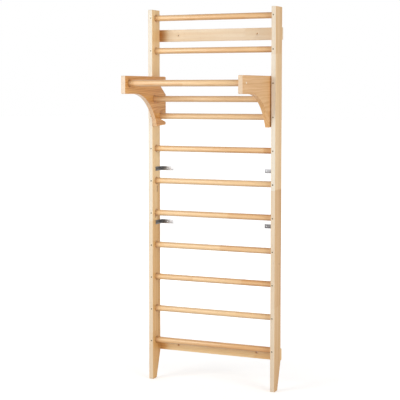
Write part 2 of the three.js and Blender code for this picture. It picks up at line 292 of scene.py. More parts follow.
def place_on(r):
    """The place on a piece, as a vector and as x, y and z."""
    place = r.add("ShaderNodeTexCoord", None, None, "Object")
    split = r.add("ShaderNodeSeparateXYZ", None, {0: place})
    return place, split.out("X"), split.out("Y"), split.out("Z")


def spot_on(r, grain):
    """The place on a piece in its own directions: across and through the grain, and along it."""
    _, x, y, z = place_on(r)
    return {"X": (y, z, x), "Y": (x, z, y), "Z": (x, y, z)}[grain]


# Wood

# Glued joints, and how far the pattern jumps across the grain and along it at each
FINGER_PITCH = 0.004
FINGER_LENGTH = 0.010
JOINT_LINE = 0.0004
LENGTH_JUMP = (0.013, 0.37)

# Staves of the bars: how far the joints and the pattern jump, and how much the tones differ
STAVE_LENGTH = 0.31
STAVES_TO_NEXT_BAR = 17.0
STOCK_COUNT = 997.0
STAVE_JUMP = (0.016, 4.0)
BAR_JUMP = (0.021, 9.0)
STAVE_TONES = 0.45
BAR_TONES = 1.05
MIDDLE_STOCK = 0.45

# Painted highlight and painted shade of the bars: where each starts and where it is full,
# by facing_out, and how much it is
PAINTED_HIGHLIGHT = (0.70, 1.0)
HIGHLIGHT_PALER = 0.32
PAINTED_BACK_SHADE = (0.3, -0.6)
BACK_SHADE_DEEPER = 0.20
PAINTED_EDGE_SHADE = (0.97, 0.60)
EDGE_SHADE_DEPTH = 0.18

# Knots, and painted shade in holes: their shape along the grain, how dark they are, and in radii
# where they start and are full
DARK_SPOT_STRETCH = 0.7
DARK_SPOT_DEPTH = 0.6
DARK_SPOT_EDGE = (1.3, 0.5)
DARK_SPOT_PUSH = (4.0, 0.0)

# Wear of the planks, painted shade round the bars, pale front edges and heartwood: where each
# starts and where it is full, in metres. Sapwood and a painted sheen make the front edges pale
RUBBED_ARRIS = (0.0036, 0.0008)
SEAT_SHADE_SKIN = (0.003, 0.001)
SEAT_SHADE_REACH = 0.009
PALE_SKIN = (0.0006, 0.0030)
HEART_REACH = (0.135, 0.036)

# Patches of wear: waves per metre, detail and roughness of the noise
RUBBED_PATCHES = (45.0, 3.0, 0.6)

# Noise in the wood: waves per metre across the grain and along it, detail and roughness
DRIFT = (7.0, 1.1, 3.0, 0.55)
SWAY = (16.0, 2.6, 2.0, 0.55)
BANDS = (48.0, 1.3, 3.0, 0.55)
STREAKS = (170.0, 2.8, 3.0, 0.55)
FIBRES = (900.0, 14.0, 2.0, 0.55)
PORES = (620.0, 50.0, 1.0, 0.55)
PLUG_WANDER = (90.0, 5.0, 2.0, 0.5)
PLUG_PORES = (2600.0, 90.0, 1.0, 0.5)

# How far the rings of the planks and bars wander, in metres and in rings
RINGS_DRIFT = 0.030
RINGS_SWAY = 3.0

# Rings on the end of a plug: their width, how much they bend and how far they wander
PLUG_RING = 0.0019
PLUG_RING_BEND = 1.936
PLUG_RING_WANDER = 0.0016


def stretched(r, spot, noise):
    """Noise that is drawn out along the grain."""
    across, through, along = spot
    thin, long, detail, roughness = noise
    return r.noise(r.vector(across * thin, through * thin, along * long), 1.0, detail, roughness)


def fingers(through):
    """How far a finger joint's zigzag reaches along the grain."""
    return abs((through / FINGER_PITCH).part() - 0.5) * 2.0 * FINGER_LENGTH


def joined_lengths(spot, lengths):
    """Long pieces glued end to end: each is its start along the grain and its tone."""
    across, through, along = spot
    end = along + fingers(through)
    tone = lengths[0][1]
    for (_, before), (start, after) in zip(lengths, lengths[1:]):
        past = end.step(start - JOINT_LINE, start + JOINT_LINE)
        tone = past * (after - before) + tone
        across = across + past * LENGTH_JUMP[0]
        along = along + past * LENGTH_JUMP[1]
    return (across, through, along), tone


def joined_staves(r, spot):
    """Short staves glued end to end, other ones in each copy of a bar. stock is the copy's number, 0 to 1.

    A stave's lot is drawn from two whole numbers, so that it is the same all over the stave.
    A bar is painted paler along its front, as a painted highlight, and darker at the back and duller on all
    but the front, as painted shade.
    """
    across, through, along = spot
    number = r.attribute("stock")
    facing_out = r.attribute("facing_out")
    stave = ((along + fingers(through)) / STAVE_LENGTH + number * STAVES_TO_NEXT_BAR).whole()
    place = r.vector(stave, (number * STOCK_COUNT).whole(), 0.0)
    lot = r.add("ShaderNodeTexWhiteNoise", {"noise_dimensions": "2D"}, {"Vector": place}).out("Value")
    moved = (
        across + lot * STAVE_JUMP[0],
        through + number * BAR_JUMP[0],
        along + lot * STAVE_JUMP[1] + number * BAR_JUMP[1],
    )
    tone = (lot - 0.5) * STAVE_TONES + (number - MIDDLE_STOCK) * BAR_TONES
    # Painted highlight along the front, painted shade at the back, and painted shade as dullness elsewhere
    tone = tone + facing_out.step(*PAINTED_BACK_SHADE) * BACK_SHADE_DEEPER - facing_out.step(*PAINTED_HIGHLIGHT) * HIGHLIGHT_PALER
    return moved, tone, facing_out.step(*PAINTED_EDGE_SHADE) * EDGE_SHADE_DEPTH


def spots_darkened(spot, knots_and_shade):
    """Darkness of small knotty spots, and of painted shade in holes, and how far they push the rings aside.

    Each is its place through and along the grain, and its radius.
    """
    _, through, along = spot
    dark, push = 0.0, 0.0
    for at, up, radius in knots_and_shade:
        gap = ((through - at) ** 2.0 + ((along - up) * DARK_SPOT_STRETCH) ** 2.0) ** 0.5 / radius
        dark = gap.step(*DARK_SPOT_EDGE) * DARK_SPOT_DEPTH + dark
        push = gap.step(*DARK_SPOT_PUSH) * radius + push
    return dark, push


def rubbed_corners(r, solid):
    """How much lacquer is rubbed off near a plank's arrises, in patches.

    Two of the three distances to its faces are small there, so the middle one counts.
    """
    place, *axes = place_on(r)
    gaps = []
    for axis, at, size in zip(axes, middle(solid), half_size(solid)):
        gaps.append(abs(abs(axis - at) - size))
    low, high = gaps[0].least(gaps[1]), gaps[0].most(gaps[1])
    second = high.least(low.most(gaps[2]))
    patches = r.noise(place, *RUBBED_PATCHES)
    return second.step(*RUBBED_ARRIS) * patches.step(0.34, 0.66)


def painted_seat_shade(r, face, radius, spots):
    """Painted shade round the bars that go into a face at x, at (y, z) spots."""
    _, x, y, z = place_on(r)
    gap = 1.0
    for at_y, at_z in spots:
        gap = (((y - at_y) ** 2.0 + (z - at_z) ** 2.0) ** 0.5).least(gap)
    return gap.step(radius + SEAT_SHADE_REACH, radius) * abs(x - face).step(*SEAT_SHADE_SKIN)


def pale_edges(r, solid, fade):
    """1 on the front edge of an upright plank, less over fade metres behind it, 0 on the broad faces.
    Sapwood and a painted sheen make that edge pale.
    """
    low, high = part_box(solid)
    _, x, y, _ = place_on(r)
    return (x - low.x).least(high.x - x).step(*PALE_SKIN) * y.step(low.y + fade, low.y)


def wood(
    name, grain, pith, tones, ring=0.0042, figure=0.5, lean=0.0, heart=0.0, painted_end_shading=None,
    lengths=None, staves=False, knots_and_shade=(), solid=None, sapwood_and_sheen=None, shaded_seats=None, gloss=(0.2, 0.34),
):
    """Clear-lacquered wood.

    grain is the axis that the grain runs along, pith is where the middle of the trunk lay, and
    lean is how far it drifts sideways along the grain. tones are the colours of early wood, late
    wood and pores. ring is the width of a year's ring, figure is how strongly rings and bands
    show, and heart how much warmer the wood gets near the pith. painted_end_shading is a painted shade
    towards the left end: where it starts along the grain, where it is full, and how deep it is;
    an amount below 0 paints light there instead. lengths is a list for joined_lengths, staves asks
    for joined_staves, which paints a highlight and shade on bars, and knots is a list for knotted:
    knotty spots, and painted shade in holes.
    solid is the plank whose corners are rubbed, and sapwood is how pale its front edge is and how
    far that reaches back. Sapwood and a painted sheen make that edge pale. seats is what
    painted_seat_shade takes, for painted shade round the bars. gloss is the weight and the roughness of
    the lacquer. The weights in the sums are given one by one.
    """
    pale, warm, dark = tones
    material, r = finish_named(name)
    whole = spot_on(r, grain)
    spot, tone, painted_dullness = whole, 0.0, 0.0
    if staves:
        spot, tone, painted_dullness = joined_staves(r, whole)
    elif lengths:
        spot, tone = joined_lengths(whole, lengths)
    # Painted shade that darkens towards the left end; an amount below 0 paints light there instead
    if painted_end_shading:
        start, full, amount = painted_end_shading
        tone = whole[2].step(start, full) * amount + tone
    across, through, along = spot

    knot_and_shade, push = spots_darkened(whole, knots_and_shade)
    drift = stretched(r, spot, DRIFT)
    sway = stretched(r, spot, SWAY)
    off_across = across - pith[0] + along * lean + (drift - 0.5) * RINGS_DRIFT
    off_through = through - pith[1] + (sway - 0.5) * ring * RINGS_SWAY
    radius = (off_across ** 2.0 + off_through ** 2.0) ** 0.5 + push
    turn = (radius / ring).part()
    late = turn.step(0.30, 0.92) * turn.step(0.92, 1.0, 1.0, 0.0)
    band = stretched(r, spot, BANDS).step(0.34, 0.66)
    streak = stretched(r, spot, STREAKS).step(0.28, 0.72)
    fibre = stretched(r, spot, FIBRES)
    pores = stretched(r, spot, PORES).step(0.64, 0.78)

    depth = (late * 0.5 + band * 0.6 + streak * 0.35 - 0.62) * figure + (drift - 0.5) * 0.8 + tone + 0.38
    if heart:
        depth = depth + (radius.step(*HEART_REACH) - 0.35) * heart
    colour = r.mix(depth.most(0.0).least(1.0), pale, warm)
    colour = r.mix((depth - 0.9).most(0.0) * 0.6, colour, dark)
    # Pale front edges. Sapwood and a painted sheen make them pale; the sheen fades where the tone is darker
    if sapwood_and_sheen:
        share, fade = sapwood_and_sheen
        colour = r.mix(pale_edges(r, solid, fade) * (share - tone * 0.8), colour, SAPWOOD_AND_SHEEN)
    stain_and_shade = pores * 0.30 + fibre.step(0.60, 0.80) * 0.15 + knot_and_shade
    # Painted shade round the bars that go into the face
    if shaded_seats:
        stain_and_shade = stain_and_shade + painted_seat_shade(r, *shaded_seats) * 0.55
    colour = r.mix(stain_and_shade, colour, dark)
    # Fibres vary the brightness, and painted shade dulls the bars' sides
    colour = r.dull(colour, (fibre - 0.5) * 0.10 + 1.0 - painted_dullness)
    rough = late * 0.05 + (streak - 0.5) * 0.08 + 0.42
    coat = (1.0 - pores * 0.6) * gloss[0]
    if solid:
        rubbed = rubbed_corners(r, solid)
        colour = r.mix(rubbed * 0.30, colour, pale)
        rough = rough + rubbed * 0.14
        coat = coat * (1.0 - rubbed * 0.6)
    height = fibre * 0.5 + late * 0.6 - pores * 0.8
    bump = r.add("ShaderNodeBump", None, {"Strength": 0.16, "Distance": 0.0004, "Height": height})
    close_finish(r, {
        "Base Color": colour,
        "Roughness": rough,
        "Specular IOR Level": 0.2,
        "Coat Weight": coat,
        "Coat Roughness": gloss[1],
        "Normal": bump,
    })
    return material


def end_grain(name, pale, warm):
    """The sanded end of a round plug, with its rings."""
    material, r = finish_named(name)
    spot = spot_on(r, "X")
    across, through, _ = spot
    wander = stretched(r, spot, PLUG_WANDER)
    bend = through + across ** 2.0 * PLUG_RING_BEND + wander * PLUG_RING_WANDER
    rings = (bend / PLUG_RING).part().step(0.2, 0.95)
    pores = stretched(r, spot, PLUG_PORES)
    colour = r.mix(rings * 0.45 + pores.step(0.60, 0.75) * 0.35, pale, warm)
    bump = r.add("ShaderNodeBump", None, {"Strength": 0.15, "Distance": 0.0003, "Height": pores})
    close_finish(r, {"Base Color": colour, "Roughness": pores * 0.1 + 0.48, "Normal": bump})
    return material


# Metal: noise in waves per metre sideways and up, and detail

CLOUDS = (130.0, 130.0, 4.0)
SCRATCHES = (240.0, 3200.0, 2.0)
SPECKS = (2100.0, 2100.0, 1.0)


def steel(name, pale, dark, rough, spotted, painted_reflection=None):
    """Plated steel with a cloudy, finely scratched face. Each copy has a number of its own for its grey.

    dulled is a painted reflection: the plating is painted dark at the first distance from the
    middle of the ladder and beyond, near the stile, and bright from the second distance inwards.
    """
    material, r = finish_named(name)
    across, through, along = spot_on(r, "X")
    number = r.attribute("stock")

    def cells(fine, up, detail):
        return r.noise(r.vector(across * fine, through * up, along * fine), 1.0, detail, 0.6)

    cloud = cells(*CLOUDS)
    scratch = cells(*SCRATCHES)
    specks = cells(*SPECKS).step(0.62, 0.80)
    bright = cloud.step(0.30, 0.72) * 0.6 + number * 0.4
    # A painted reflection: dark near the stiles, bright towards the ends of the wall legs
    if painted_reflection:
        bright = bright * 0.4 + abs(along).step(*painted_reflection) * (number * 0.8 + 0.1)
    colour = r.mix(bright, dark, pale)
    colour = r.dull(colour, (scratch - 0.5) * 0.22 - specks * spotted + 1.0)
    bump = r.add("ShaderNodeBump", None, {"Strength": 0.12, "Distance": 0.0002, "Height": scratch})
    close_finish(r, {
        "Base Color": colour,
        "Metallic": 1.0,
        "Roughness": (cloud - 0.5) * 0.16 + specks * 0.12 + rough,
        "Normal": bump,
    })
    return material


# Finishes: colours of early wood, late wood and pores

# Colour of the pale front edges. Sapwood and a painted sheen make them pale
SAPWOOD_AND_SHEEN = paint(240, 229, 210)
# The left stile's colours are paler than the right stile's: painted light on its shaded inner face
LEFT_STILE = (paint(250, 217, 164), paint(222, 171, 102), paint(142, 74, 12))
RIGHT_STILE = (paint(241, 208, 161), paint(210, 160, 98), paint(142, 74, 12))
BEECH = (paint(246, 208, 158), paint(217, 154, 88), paint(152, 90, 40))
UPPER_BOARD = (paint(245, 228, 202), paint(226, 195, 151), paint(180, 104, 6))
# The lower board's colours are paler: painted light in the shadow that the lowest rung casts on it
LOWER_BOARD = (paint(254, 228, 182), paint(240, 190, 124), paint(188, 112, 8))
# The left bracket's colours are darker than the right one's: painted shade on its inner face
LEFT_BRACKET = (paint(238, 182, 112), paint(204, 136, 66), paint(128, 64, 12))
RIGHT_BRACKET = (paint(238, 192, 138), paint(212, 156, 94), paint(148, 92, 44))

# The middle of the trunk, from the middle of the piece across and through the grain
STILE_PITH = (-0.010, 0.085)
BOARD_PITH = (0.040, -0.050)
BRACKET_PITH = (0.050, -0.070)
BAR_PITH = 0.020

# Lengths that are glued end to end (start, tone), and knotty spots and painted shade in holes
# (through, along, radius)
LEFT_LENGTHS = [(-3.0, 0.54), (-1.75, 0.44), (-1.083, 0.16), (-0.848, -0.28), (-0.31, -0.02)]
RIGHT_LENGTHS = [(-3.0, 0.38), (-1.55, 0.42), (-0.877, -0.16), (-0.11, 0.18)]
UPPER_LENGTHS = [(-1.0, 0.0), (0.18, 0.06)]
LOWER_LENGTHS = [(-1.0, 0.0), (0.24, 0.10)]
LEFT_KNOTS = [(-0.056, -0.895, 0.008), (-0.056, -0.914, 0.008), (-0.082, -1.066, 0.008)]
RIGHT_KNOTS = [(-0.049, -1.31, 0.005)]
# Painted shade in the lower board's wall holes
HOLE_SHADE_RADIUS = 0.006
LOWER_HOLE_SHADE = [
    (middle("wall_board_lower").z, sign * WALL_HOLE_REACH, HOLE_SHADE_RADIUS) for sign in SIDES.values()
]

# Where the boards' painted shadow and the rungs' painted light start towards their left end, and where each
# is full
BOARD_PAINTED_SHADOW = (-0.300, -0.372)
RUNG_PAINTED_LIGHT = (0.0, -0.34)


def stile_wood(side, tones, lengths, knots_and_shade, sapwood_and_sheen):
    node = f"stile_{side}"
    at = middle(node)
    pith = (at.x + STILE_PITH[0], at.y + STILE_PITH[1])
    # Where the rungs go into the stile, for painted shade round them
    shaded_seats = (SIDES[side] * stile_inner, rung_radius, [(rung_y, rung_z[number]) for number in RUNGS])
    return wood(
        f"stile_wood_{side}", "Z", pith, tones, heart=0.45, lengths=lengths, knots_and_shade=knots_and_shade,
        solid=node, sapwood_and_sheen=(sapwood_and_sheen, 0.26), shaded_seats=shaded_seats,
    )


def board_wood(level, tones, lengths, painted_shadow, knots_and_shade=()):
    node = f"wall_board_{level}"
    at = middle(node)
    pith = (at.y + BOARD_PITH[0], at.z + BOARD_PITH[1])
    return wood(
        f"board_wood_{level}", "X", pith, tones, ring=0.0050, painted_end_shading=(*BOARD_PAINTED_SHADOW, painted_shadow),
        lengths=lengths, knots_and_shade=knots_and_shade, solid=node,
    )


def bracket_wood(side, tones, ring, figure, lean, sapwood_and_sheen):
    node = f"hook_bracket_{side}"
    at = middle(node)
    pith = (at.x + BRACKET_PITH[0], at.z + BRACKET_PITH[1])
    inner = at.x - SIDES[side] * half_size(node).x
    bars = [middle(bar) for bar in BARS]
    # Where the bars go into the bracket, for painted shade round them
    shaded_seats = (inner, half_size("grip_bar").z, [(bar.y, bar.z) for bar in bars])
    return wood(
        f"bracket_wood_{side}", "Y", pith, tones, ring=ring, figure=figure, lean=lean,
        solid=node, sapwood_and_sheen=sapwood_and_sheen, shaded_seats=shaded_seats,
    )


def bar_wood(name, painted_end_shading=None):
    pith = (rung_y + BAR_PITH, 0.0)
    return wood(name, "X", pith, BEECH, painted_end_shading=painted_end_shading, staves=True, gloss=(0.7, 0.18))


finishes = {
    "stile_left": stile_wood("left", LEFT_STILE, LEFT_LENGTHS, LEFT_KNOTS, sapwood_and_sheen=1.0),
    "stile_right": stile_wood("right", RIGHT_STILE, RIGHT_LENGTHS, RIGHT_KNOTS, sapwood_and_sheen=0.96),
    # The boards' left ends are painted darker, as painted shadow of the left stile
    "board_upper": board_wood("upper", UPPER_BOARD, UPPER_LENGTHS, painted_shadow=1.7),
    "board_lower": board_wood("lower", LOWER_BOARD, LOWER_LENGTHS, painted_shadow=1.0, knots_and_shade=LOWER_HOLE_SHADE),
    # The rungs' left ends are painted paler, as painted light where the left stile shades them
    "rung": bar_wood("rung_wood", painted_end_shading=(*RUNG_PAINTED_LIGHT, -0.30)),
    "bar": bar_wood("bar_wood"),
    "bracket_left": bracket_wood(
        "left", LEFT_BRACKET, ring=0.011, figure=0.9, lean=0.12, sapwood_and_sheen=(0.7, 0.70),
    ),
    "bracket_right": bracket_wood(
        "right", RIGHT_BRACKET, ring=0.017, figure=0.6, lean=0.08, sapwood_and_sheen=(0.5, 0.16),
    ),
    # The plugs are painted near white: a painted highlight on their ends
    "plug": end_grain("plug_wood", paint(253, 244, 226), paint(243, 222, 190)),
    "angle": steel(
        "zinc_angle", paint(196, 196, 198), paint(64, 61, 62), rough=0.42, spotted=0.25,
        painted_reflection=(0.372, 0.306),
    ),
    "board_screw": steel(
        "zinc_screw", paint(196, 196, 190), paint(150, 150, 148), rough=0.34, spotted=0.15,
    ),
    "dark_screw": steel(
        "dark_screw", paint(136, 124, 96), paint(100, 88, 64), rough=0.26, spotted=0.20,
    ),
}


# Shapes


def rounded(corners):
    """An outline through corners (a, b, radius), with an arc in each corner."""
    points = []
    for index, (a, b, radius) in enumerate(corners):
        here = Vector((a, b))
        before = (Vector(corners[index - 1][:2]) - here).normalized()
        after = (Vector(corners[(index + 1) % len(corners)][:2]) - here).normalized()
        if radius == 0:
            points.append(here)
            continue
        half = before.angle(after) / 2
        centre = here + (before + after).normalized() * radius / math.sin(half)
        start = here + before * radius / math.tan(half) - centre
        end = here + after * radius / math.tan(half) - centre
        first = math.atan2(start.y, start.x)
        sweep = math.remainder(math.atan2(end.y, end.x) - first, math.tau)
        for step in range(ARC_STEPS + 1):
            turn = first + sweep * step / ARC_STEPS
            points.append(centre + radius * Vector((math.cos(turn), math.sin(turn))))
    return [p for i, p in enumerate(points) if (p - points[i - 1]).length > SAME_POINT]


def laid(across, a, b, t):
    """A point of an outline (a, b) at t across it."""
    return {"X": Vector((t, a, b)), "Y": Vector((a, t, b)), "Z": Vector((a, b, t))}[across]


def shape(name, bm):
    """An object from a bmesh, with closed seams and with its faces turned outwards."""
    bmesh.ops.remove_doubles(bm, verts=bm.verts, dist=SEAM_GAP)
    bmesh.ops.recalc_face_normals(bm, faces=bm.faces)
    mesh = bpy.data.meshes.new(name)
    bm.to_mesh(mesh)
    bm.free()
    made = bpy.data.objects.new(name, mesh)
    scene.collection.objects.link(made)
    return made


def plank(name, outline, across, low, high, edge, steps=EDGE_STEPS):
    """A board sawn to an outline, with the edges of both faces rounded over."""
    bm = bmesh.new()
    near = [bm.verts.new(laid(across, a, b, low)) for a, b in outline]
    far = [bm.verts.new(laid(across, a, b, high)) for a, b in outline]
    faces = [bm.faces.new(near), bm.faces.new(far)]
    for index in range(len(outline)):
        bm.faces.new((near[index - 1], near[index], far[index], far[index - 1]))
    bmesh.ops.recalc_face_normals(bm, faces=bm.faces)
    rims = [e for face in faces for e in face.edges]
    bmesh.ops.bevel(
        bm, geom=rims, offset=edge, offset_type="OFFSET", segments=steps, profile=0.5,
        affect="EDGES", clamp_overlap=True,
    )
    return shape(name, bm)


def facing(point, direction):
    """Puts a turned piece's start at point, with its axis along direction."""
    turn = Vector((0, 0, 1)).rotation_difference(Vector(direction)).to_matrix().to_4x4()
    return Matrix.Translation(point) @ turn


def turn_into(bm, profile, sides, place):
    """Adds a turned solid to bm, from (radius, distance) pairs that start and end on the axis."""
    rings = []
    for radius, distance in profile:
        count = sides if radius > 0 else 1
        angles = [math.tau * k / count for k in range(count)]
        spots = [Vector((radius * math.cos(t), radius * math.sin(t), distance)) for t in angles]
        rings.append([bm.verts.new(place @ spot) for spot in spots])
    for one, two in zip(rings, rings[1:]):
        for k in range(sides):
            near = [one[k % len(one)], one[(k + 1) % len(one)]]
            far = [two[(k + 1) % len(two)], two[k % len(two)]]
            bm.faces.new(dict.fromkeys(near + far))


def rod_into(bm, radius, start, end, sides=HOLE_SIDES):
    axis = Vector(end) - Vector(start)
    profile = [(0, 0), (radius, 0), (radius, axis.length), (0, axis.length)]
    turn_into(bm, profile, sides, facing(start, axis.normalized()))


def sunk_hole(mouth, cone_start, cone_end, bore, depth):
    """The profile of a hole for a sunk head: its mouth, a cone and a bore."""
    return [
        (0, -OVERCUT),
        (mouth, -OVERCUT),
        (mouth, cone_start),
        (bore, cone_end),
        (bore, depth),
        (0, depth),
    ]


def settled(made):
    """Turns an object's modifiers into plain mesh."""
    graph = bpy.context.evaluated_depsgraph_get()
    mesh = bpy.data.meshes.new_from_object(made.evaluated_get(graph))
    made.modifiers.clear()
    old = made.data
    made.data = mesh
    mesh.name = made.name
    bpy.data.meshes.remove(old)


def drilled(made, cutters):
    """Cuts the solids in cutters out of a piece."""
    drill = shape("drill", cutters)
    cut = made.modifiers.new("holes", "BOOLEAN")
    cut.operation = "DIFFERENCE"
    cut.solver = "EXACT"
    cut.object = drill
    settled(made)
    bpy.data.objects.remove(drill)


def smoothed(made, weighted=True):
    """Smooth faces with sharp arrises, and flat faces that stay flat."""
    made.data.shade_smooth()
    made.data.set_sharp_from_angle(angle=SHARP_BEND)
    if weighted:
        even = made.modifiers.new("even", "WEIGHTED_NORMAL")
        even.keep_sharp = True
        even.weight = 100
        settled(made)
    return made


def dressed(made, finish, body, slot, *nodes):
    """Gives a finished piece its material and body, and hides the solids that it stands for. slot is not
    used.
    """
    made.data.materials.clear()
    made.data.materials.append(finish)
    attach(made, body)
    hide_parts(*nodes)


# Geometry Nodes: copies in a row and copies at points


def node_tree(name, inputs):
    tree = bpy.data.node_groups.new(name, "GeometryNodeTree")
    for label, kind in inputs.items():
        tree.interface.new_socket(name=label, in_out="INPUT", socket_type=kind)
    tree.interface.new_socket(name="Made", in_out="OUTPUT", socket_type="NodeSocketGeometry")
    recipe = Recipe(tree)
    return tree, recipe, recipe.add("NodeGroupInput")


def close_tree(r, given, copies):
    """Ends a tree: each copy keeps a number of its own for its wood or its grey, then all are one mesh."""
    number = r.add("FunctionNodeRandomValue", {"data_type": "FLOAT"}, {"Seed": given.out("Seed")}, 1)
    kept = r.add(
        "GeometryNodeStoreNamedAttribute", {"data_type": "FLOAT", "domain": "INSTANCE"},
        {"Geometry": copies, "Name": "stock", "Value": number},
    )
    plain = r.add("GeometryNodeRealizeInstances", None, {0: kept})
    values = {"Geometry": plain, "Material": given.out("Finish")}
    coloured = r.add("GeometryNodeSetMaterial", None, values)
    r.add("NodeGroupOutput", None, {0: coloured})


def row_tree():
    """The piece itself again and again straight up."""
    tree, r, given = node_tree("row_of_rungs", {
        "Piece": "NodeSocketGeometry",
        "Count": "NodeSocketInt",
        "Pitch": "NodeSocketFloat",
        "Seed": "NodeSocketInt",
        "Finish": "NodeSocketMaterial",
    })
    rise = r.vector(0.0, 0.0, given.out("Pitch"))
    line = r.add("GeometryNodeMeshLine", None, {"Count": given.out("Count"), "Offset": rise})
    copies = r.add("GeometryNodeInstanceOnPoints", None, {"Points": line, "Instance": given.out("Piece")})
    close_tree(r, given, copies)
    return tree


def points_tree():
    """A copy of a shape at each point, turned about Z by the point's own turn, and spun about its own Y."""
    tree, r, given = node_tree("copies_at_points", {
        "Points": "NodeSocketGeometry",
        "Shape": "NodeSocketObject",
        "Largest Spin": "NodeSocketFloat",
        "Seed": "NodeSocketInt",
        "Finish": "NodeSocketMaterial",
    })
    source = r.add(
        "GeometryNodeObjectInfo", {"transform_space": "ORIGINAL"},
        {"Object": given.out("Shape")}, "Geometry",
    )
    turn = r.add("GeometryNodeInputNamedAttribute", {"data_type": "FLOAT"}, {"Name": "turn"})
    about = r.add("FunctionNodeAxisAngleToRotation", None, {"Axis": (0.0, 0.0, 1.0), "Angle": turn})
    copies = r.add(
        "GeometryNodeInstanceOnPoints", None,
        {"Points": given.out("Points"), "Instance": source, "Rotation": about},
    )
    spin = r.add(
        "FunctionNodeRandomValue", {"data_type": "FLOAT"},
        {"Max": given.out("Largest Spin"), "Seed": given.out("Seed")}, 1,
    )
    spun = r.add(
        "GeometryNodeRotateInstances", None,
        {"Instances": copies, "Rotation": r.vector(0.0, spin, 0.0), "Local Space": True},
    )
    close_tree(r, given, spun)
    return tree


def made_by(tree, made, values):
    """Runs a tree on an object with named values, and keeps the result as plain mesh."""
    modifier = made.modifiers.new("copies", "NODES")
    modifier.node_group = tree
    for item in tree.interface.items_tree:
        if item.name in values:
            modifier[item.identifier] = values[item.name]
    settled(made)


copies_in_a_row = row_tree()
copies_at_points = points_tree()


def at_points(name, source, spots, finish, spin=0.0):
    """Copies of source at (point, turn) spots, as one mesh."""
    mesh = bpy.data.meshes.new(name)
    mesh.from_pydata([spot for spot, _ in spots], [], [])
    turns = mesh.attributes.new("turn", "FLOAT", "POINT")
    turns.data.foreach_set("value", [turn for _, turn in spots])
    made = bpy.data.objects.new(name, mesh)
    scene.collection.objects.link(made)
    values = {"Shape": source, "Largest Spin": spin, "Seed": SEEDS[name], "Finish": finish}
    made_by(copies_at_points, made, values)
    bpy.data.objects.remove(source)
    return made


# Stiles


def make_stile(side):
    node = f"stile_{side}"
    sign = SIDES[side]
    low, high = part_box(node)
    outline = rounded([
        (low.y, low.z, PLANK_CORNER),
        (low.y + FOOT_DEPTH, low.z, FOOT_ROUND),
        (high.y, low.z + FOOT_TAPER_HEIGHT, TAPER_KNEE),
        (high.y, high.z, PLANK_CORNER),
        (low.y, high.z, PLANK_CORNER),
    ])
    made = plank(f"{node}_plank", outline, "X", low.x, high.x, PLANK_EDGE)
    inner = sign * stile_inner
    head = half_size("rung_screw_left_01").x + FIT
    screw_hole = sunk_hole(head, *RUNG_SCREW_HOLE, RUNG_SCREW_HOLE_DEPTH)
    cutters = bmesh.new()
    for number in RUNGS:
        mouth = (inner - sign * OVERCUT, rung_y, rung_z[number])
        rod_into(cutters, rung_radius + FIT, mouth, (inner + sign * RUNG_SEAT, rung_y, rung_z[number]))
        seat = (inner + sign * RUNG_SCREW_INSET, low.y, rung_z[number])
        turn_into(cutters, screw_hole, SCREW_SIDES, facing(seat, (0, 1, 0)))
    drilled(made, cutters)
    smoothed(made)
    dressed(made, finishes[node], "ladder", "stile_wood", node)


for side in SIDES:
    make_stile(side)


# Rungs

# The side of the bars where their highlight is painted: in front, a little up
HIGHLIGHT_RISE = math.radians(6)
HIGHLIGHT_SIDE = Vector((0.0, -math.cos(HIGHLIGHT_RISE), math.sin(HIGHLIGHT_RISE)))

# The middle of a quarter round is about this share of its radius from both sides
EASE_MIDDLE = 0.3


def turned_bar(name, half_length, radius):
    """A round bar along X with eased ends. facing_out is 1 on the side where its highlight is painted."""
    bm = bmesh.new()
    length = 2 * half_length
    between = EASE_MIDDLE * BAR_EASE
    profile = [(0, 0), (radius - BAR_EASE, 0), (radius - between, between), (radius, BAR_EASE)]
    profile += [(reach, length - at) for reach, at in reversed(profile)]
    turn_into(bm, profile, ROUND_SIDES, facing((-half_length, 0, 0), (1, 0, 0)))
    made = shape(name, bm)
    out = made.data.attributes.new("facing_out", "FLOAT", "POINT")
    out.data.foreach_set("value", [v.co.dot(HIGHLIGHT_SIDE) / radius for v in made.data.vertices])
    return made


def make_rungs():
    made = turned_bar("rungs", half_size("rung_01").x, rung_radius)
    made.data.transform(Matrix.Translation((0, rung_y, rung_z["01"])))
    smoothed(made, weighted=False)
    pitch = rung_z["02"] - rung_z["01"]
    values = {"Count": len(RUNGS), "Pitch": pitch, "Seed": SEEDS["rungs"], "Finish": finishes["rung"]}
    made_by(copies_in_a_row, made, values)
    dressed(made, finishes["rung"], "ladder", "rung_wood", *[f"rung_{number}" for number in RUNGS])


make_rungs()


# Wall boards


def make_board(level):
    node = f"wall_board_{level}"
    low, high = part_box(node)
    outline = rounded([
        (low.x, low.z, PLANK_CORNER),
        (high.x, low.z, PLANK_CORNER),
        (high.x, high.z, PLANK_CORNER),
        (low.x, high.z, PLANK_CORNER),
    ])
    made = plank(f"{node}_plank", outline, "Y", low.y, high.y, PLANK_EDGE)
    through = high.y - low.y + OVERCUT
    head = half_size(f"board_screw_{level}_left").x + FIT
    wall_hole = sunk_hole(WALL_HOLE_SINK_RADIUS, 0, WALL_HOLE_SINK_DEPTH, WALL_HOLE_RADIUS, through)
    screw_hole = sunk_hole(head, *BOARD_SCREW_HOLE, through)
    z = middle(node).z
    cutters = bmesh.new()
    for side, sign in SIDES.items():
        front = (sign * WALL_HOLE_REACH, low.y, z)
        turn_into(cutters, wall_hole, HOLE_SIDES, facing(front, (0, 1, 0)))
        back = (middle(f"board_screw_{level}_{side}").x, high.y, z)
        turn_into(cutters, screw_hole, SCREW_SIDES, facing(back, (0, -1, 0)))
    drilled(made, cutters)
    smoothed(made)
    dressed(made, finishes[f"board_{level}"], "ladder", "board_wood", node)


for level in LEVELS:
    make_board(level)


# Steel angles


